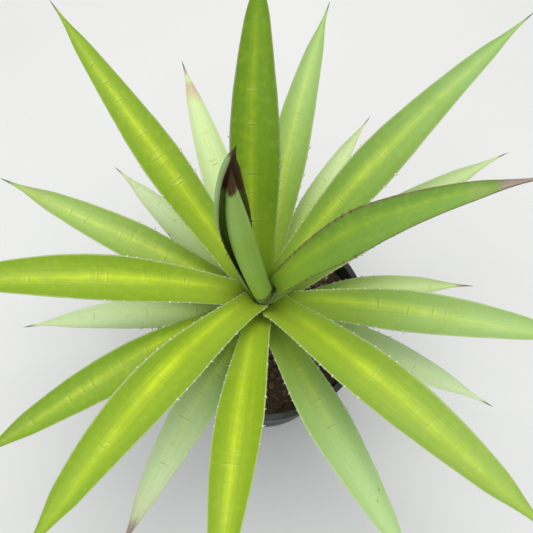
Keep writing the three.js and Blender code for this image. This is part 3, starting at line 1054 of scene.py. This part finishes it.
POT_WALL = 2.2 * MM
POT_FLOOR = 3 * MM
LIP_HEIGHT = 14 * MM
LIP_DEPTH = 7.4 * MM  # from the outside of the lip to the inside
RING_INSET = 1.2 * MM  # the underside stands this far above the standing ring
STEP_SHARES = (0.3, 0.62)  # heights of the two wall steps, as shares of the wall
DRAIN_HOLES = 6
DRAIN_RADIUS = 6.5 * MM
DRAIN_SHARE = 0.72  # circle of the drain holes, as a share of the underside's radius


def pot_profile(tree, foot):
    """Points from the middle of the underside, up the outside, over the lip and down to the floor."""
    height, rim = pot_high.z, pot_high.x
    below_lip = height - 20 * MM
    below_radius = radius_at(tree, below_lip)
    lip_foot = height - LIP_HEIGHT
    lip_radius = radius_at(tree, lip_foot)

    def wall_at(z):
        return foot + (below_radius - foot) * z / below_lip

    profile = [(AXIS_GAP, RING_INSET), (foot * 0.86, RING_INSET), (foot * 0.88, 0.0), (foot - 3 * MM, 0.0)]
    profile += arc((foot - 3 * MM, 3 * MM), 3 * MM, -80, -10, 6)
    for share in STEP_SHARES:
        z = lip_foot * share
        for inset, rise in ((0.5, -2), (0, 0), (0, 2.5), (0.1, 4)):
            profile.append((wall_at(z) - inset * MM, z + rise * MM))
    profile.append((wall_at(lip_foot) - 0.3 * MM, lip_foot - 2.5 * MM))
    profile += arc((lip_radius - 1.4 * MM, lip_foot + 0.2 * MM), 1.4 * MM, -90, 0, 5)
    profile += arc((rim - 1.6 * MM, height - 1.6 * MM), 1.6 * MM, 0, 90, 6)
    profile += arc((rim - LIP_DEPTH + 1.2 * MM, height - 1.2 * MM), 1.2 * MM, 90, 180, 5)
    inner_foot = wall_at(POT_FLOOR) - POT_WALL
    profile.append((wall_at(lip_foot) - POT_WALL, lip_foot - 4 * MM))
    profile.append((inner_foot - 2 * MM, POT_FLOOR + 2 * MM))
    return profile + [(inner_foot - 4 * MM, POT_FLOOR), (AXIS_GAP, POT_FLOOR)]


def drain_drill(foot):
    """The cylinders that are cut out of the pot's floor."""
    cutters = Skin()
    low, high, axis = -5 * MM, 9 * MM, 0.1 * MM
    for i in range(DRAIN_HOLES):
        angle = 2 * math.pi * i / DRAIN_HOLES
        x, y = np.array([math.cos(angle), math.sin(angle)]) * foot * DRAIN_SHARE
        points, faces = turned([(axis, low), (DRAIN_RADIUS, low), (DRAIN_RADIUS, high), (axis, high)], 28)
        cutters.add([(px + x, py + y, z) for px, py, z in points], faces)
    return cutters.build("drain_drill", [], smooth=False)


def make_pot(material):
    """Moulded round pot: standing ring, tapered wall with two steps, rolled rim and drain holes."""
    tree = turned_tree("pot")
    foot = radius_at(tree, 1 * MM)
    rows, faces = turned(pot_profile(tree, foot), 144)
    skin = Skin()
    skin.add(rows, faces)
    made = skin.build("pot_fine", [material])
    drill = drain_drill(foot)
    holes = made.modifiers.new("drain_holes", "BOOLEAN")
    holes.operation = "DIFFERENCE"
    holes.solver = "EXACT"
    holes.object = drill
    bake_modifiers(made)
    bpy.data.objects.remove(drill)
    shade_by_angle(made, 38)
    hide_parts("pot")
    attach(made, "root")


def bake_modifiers(piece):
    """The piece keeps the mesh that its modifiers make."""
    graph = bpy.context.evaluated_depsgraph_get()
    mesh = bpy.data.meshes.new_from_object(piece.evaluated_get(graph))
    piece.modifiers.clear()
    piece.data = mesh


def shade_by_angle(piece, degrees):
    """Smooth shading, with the edges that turn by more than this kept crisp."""
    limit = math.radians(degrees)
    bm = bmesh.new()
    bm.from_mesh(piece.data)
    for face in bm.faces:
        face.smooth = True
    for edge in bm.edges:
        edge.smooth = edge.is_manifold and edge.calc_face_angle(0.0) < limit
    bm.to_mesh(piece.data)
    bm.free()


CHIPS = 900
STONE_TONE = 0.97  # bark chips have tones up to 0.85


def mix_height(x, y):
    """Height of the mix's surface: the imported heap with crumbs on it."""
    away = math.hypot(x, y)
    edge_level = mix_high.z - 6 * MM
    heap = 4 * MM * float(1 - step(away, 25 * MM, 55 * MM))
    heap += 2 * MM * float(1 - step(away, 45 * MM, 100 * MM))
    rough = noise.fractal((x * 90, y * 90, 3.0), 0.8, 2.1, 5) * 1.3 * MM
    return edge_level + heap * 0.75 + rough - 1.2 * MM


def rotated(a, b, angle):
    """Two coordinates turned about the third axis."""
    return a * math.cos(angle) - b * math.sin(angle), a * math.sin(angle) + b * math.cos(angle)


def add_chip(skin, rng, x, y, size, tone):
    """A bark chip or a stone: a box-like lump with every corner knocked about."""
    stretch = (rng.uniform(0.7, 1.3), rng.uniform(0.45, 0.8), rng.uniform(0.22, 0.5))
    if tone == STONE_TONE:
        stretch = (1.0, 0.85, 0.75)
    spin, tilt = rng.uniform(0, math.tau), rng.uniform(-0.5, 0.5)
    rings, around = 5, 8
    level = mix_height(x, y)
    points = []
    for r in range(rings):
        lat = math.pi * (r + 0.6) / (rings + 0.2)
        for i in range(around):
            lon = math.tau * i / around
            boxy = 1 / max(abs(math.cos(lon)), abs(math.sin(lon))) ** 0.6
            knock = rng.uniform(0.84, 1.12)
            wide = math.sin(lat) * boxy
            lump = (wide * math.cos(lon), wide * math.sin(lon), -math.cos(lat))
            p = Vector([a * b for a, b in zip(lump, stretch)]) * size * 0.5 * knock
            px, pz = rotated(p.x, p.z, tilt)
            px, py = rotated(px, p.y, spin)
            points.append((x + px, y + py, level + pz + size * 0.06))
    skin.add(points, tube_faces(rings, around), tone=tone)


def make_mix(material):
    """Bark mix: a rough closed filling with chips and a few pale stones lying on it."""
    rng = random.Random("bark mix")
    tree = turned_tree("potting_mix")
    rim = radius_at(tree, mix_high.z - 8 * MM) - 0.4 * MM
    foot = radius_at(tree, mix_low.z + 1 * MM) - 0.4 * MM
    bottom = mix_low.z + 0.3 * MM
    profile = [(AXIS_GAP, bottom), (foot, bottom)]
    wall = len(profile)
    profile += [(r, 0.0) for r in np.linspace(rim, 10 * MM, 44)]

    def wobble(k, angle, r, z):
        return (0, mix_height(r * math.cos(angle), r * math.sin(angle))) if k >= wall else (0, 0)

    rows, faces = turned(profile, 150, wobble)
    skin = Skin()
    skin.add(rows, faces, tone=0.0)
    for _ in range(CHIPS):
        away = math.sqrt(rng.uniform((24 * MM) ** 2, (rim - 5 * MM) ** 2))
        angle = rng.uniform(0, math.tau)
        size = rng.triangular(3, 11, 4.5) * MM
        tone = STONE_TONE if rng.random() < 0.07 else rng.uniform(0.15, 0.85)
        if tone == STONE_TONE:
            size = rng.uniform(2.5, 5) * MM
        add_chip(skin, rng, away * math.cos(angle), away * math.sin(angle), size, tone)
    made = skin.build("mix_fine", [material])
    shade_by_angle(made, 40)
    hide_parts("potting_mix")
    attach(made, "root")


def make_stem(material):
    """Short stem ringed by the scars of fallen leaves, each a low ledge that runs round it."""
    tree = turned_tree("stem")
    levels = np.linspace(stem_low.z + 1 * MM, stem_high.z - 0.5 * MM, 90)
    wall = [(radius_at(tree, z) - 0.5 * MM, float(z)) for z in levels]
    profile = [(AXIS_GAP, stem_low.z), *wall, (AXIS_GAP, stem_high.z)]

    def wobble(k, angle, r, z):
        if k == 0 or k == len(profile) - 1:
            return (0, 0)
        ledge = math.sin((z * 1000 + 1.5 * math.sin(angle * 2 + z * 300)) * 1.5)
        rough = noise.noise((math.cos(angle) * 3, math.sin(angle) * 3, z * 220))
        return (min(0.35 * ledge + 0.5 * rough, 0.5) * MM, 0)

    rows, faces = turned(profile, 64, wobble)
    skin = Skin()
    skin.add(rows, faces)
    made = skin.build("stem_fine", [material])
    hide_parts("stem")
    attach(made, "root")


# ---- room, light and camera ----


def make_floor(material):
    """A pale floor that reaches 6 m each way."""
    size = 6.0
    skin = Skin()
    skin.add([(-size, -size, 0), (size, -size, 0), (size, size, 0), (-size, size, 0)], [(0, 1, 2, 3)])
    floor = skin.build("floor", [material], smooth=False)


def aim(thing, target):
    thing.rotation_euler = (Vector(target) - thing.location).to_track_quat("-Z", "Y").to_euler()


def make_light(name, place, target, size, power, colour):
    data = bpy.data.lights.new(name, "AREA")
    data.shape = "DISK"
    data.size = size
    data.energy = power
    data.color = colour
    light = bpy.data.objects.new(name, data)
    light.location = place
    aim(light, target)
    bpy.context.scene.collection.objects.link(light)


def make_room():
    """An even sky, a key light from above and behind, and a fill from the left."""
    world = bpy.data.worlds.new("studio")
    world.use_nodes = True
    background = world.node_tree.nodes["Background"].inputs
    background["Color"].default_value = (0.93, 0.96, 1.0, 1)
    background["Strength"].default_value = 0.78
    bpy.context.scene.world = world
    make_light("key", (0.1, 0.5, 1.9), (0, 0, 0.25), 1.2, 18, (1.0, 0.985, 0.94))
    make_light("fill", (-0.9, -1.3, 1.2), (0, 0, 0.2), 1.6, 5, (0.95, 0.98, 1.0))
    bpy.context.scene.view_settings.view_transform = "Standard"


CAMERA_TARGET = (0.004, 0.042, 0.235)
CAMERA_RISE = 66.0  # degrees above level
CAMERA_DISTANCE = 0.78
CAMERA_LENS = 48.6


def make_camera():
    data = bpy.data.cameras.new("camera")
    data.lens = CAMERA_LENS
    data.clip_start = 0.02
    camera = bpy.data.objects.new("camera", data)
    rise = math.radians(CAMERA_RISE)
    x, y, z = CAMERA_TARGET
    camera.location = (x, y - CAMERA_DISTANCE * math.cos(rise), z + CAMERA_DISTANCE * math.sin(rise))
    aim(camera, CAMERA_TARGET)
    bpy.context.scene.collection.objects.link(camera)
    bpy.context.scene.camera = camera


# ---- assembly ----

leaf_skin = make_leaf_group()
grit = make_grit_group()
PALETTES = {
    "young_leaf": dict(underside=(0.23, 0.37, 0.09, 1)),
    "middle_leaf": dict(lime=(0.3, 0.425, 0.008, 1)),
    # old leaves lie low, in the shade of the others: their pale and lime are set brighter as painted light
    "old_leaf": dict(lime=(0.33, 0.46, 0.02, 1), pale=(0.74, 0.87, 0.5, 1)),
}
finishes = {key: make_leaf_material(key + "_skin", leaf_skin, **PALETTES[key]) for key in PALETTES}
slot_of = {entry["node"]: entry["material_slot"] for entry in frame["record"]["subparts"]}
for leaf_name, leaf_traits in LEAF_TRAITS.items():
    leaf_slot = slot_of[leaf_name]
    make_leaf(leaf_name, leaf_traits, finishes[leaf_slot])
make_spear(make_leaf_material("spear_skin", leaf_skin, underside=(0.34, 0.49, 0.06, 1)))
make_stem(make_stem_material())
make_mix(make_mix_material(grit))
make_pot(make_pot_material(grit))
make_floor(make_floor_material())
make_room()
make_camera()
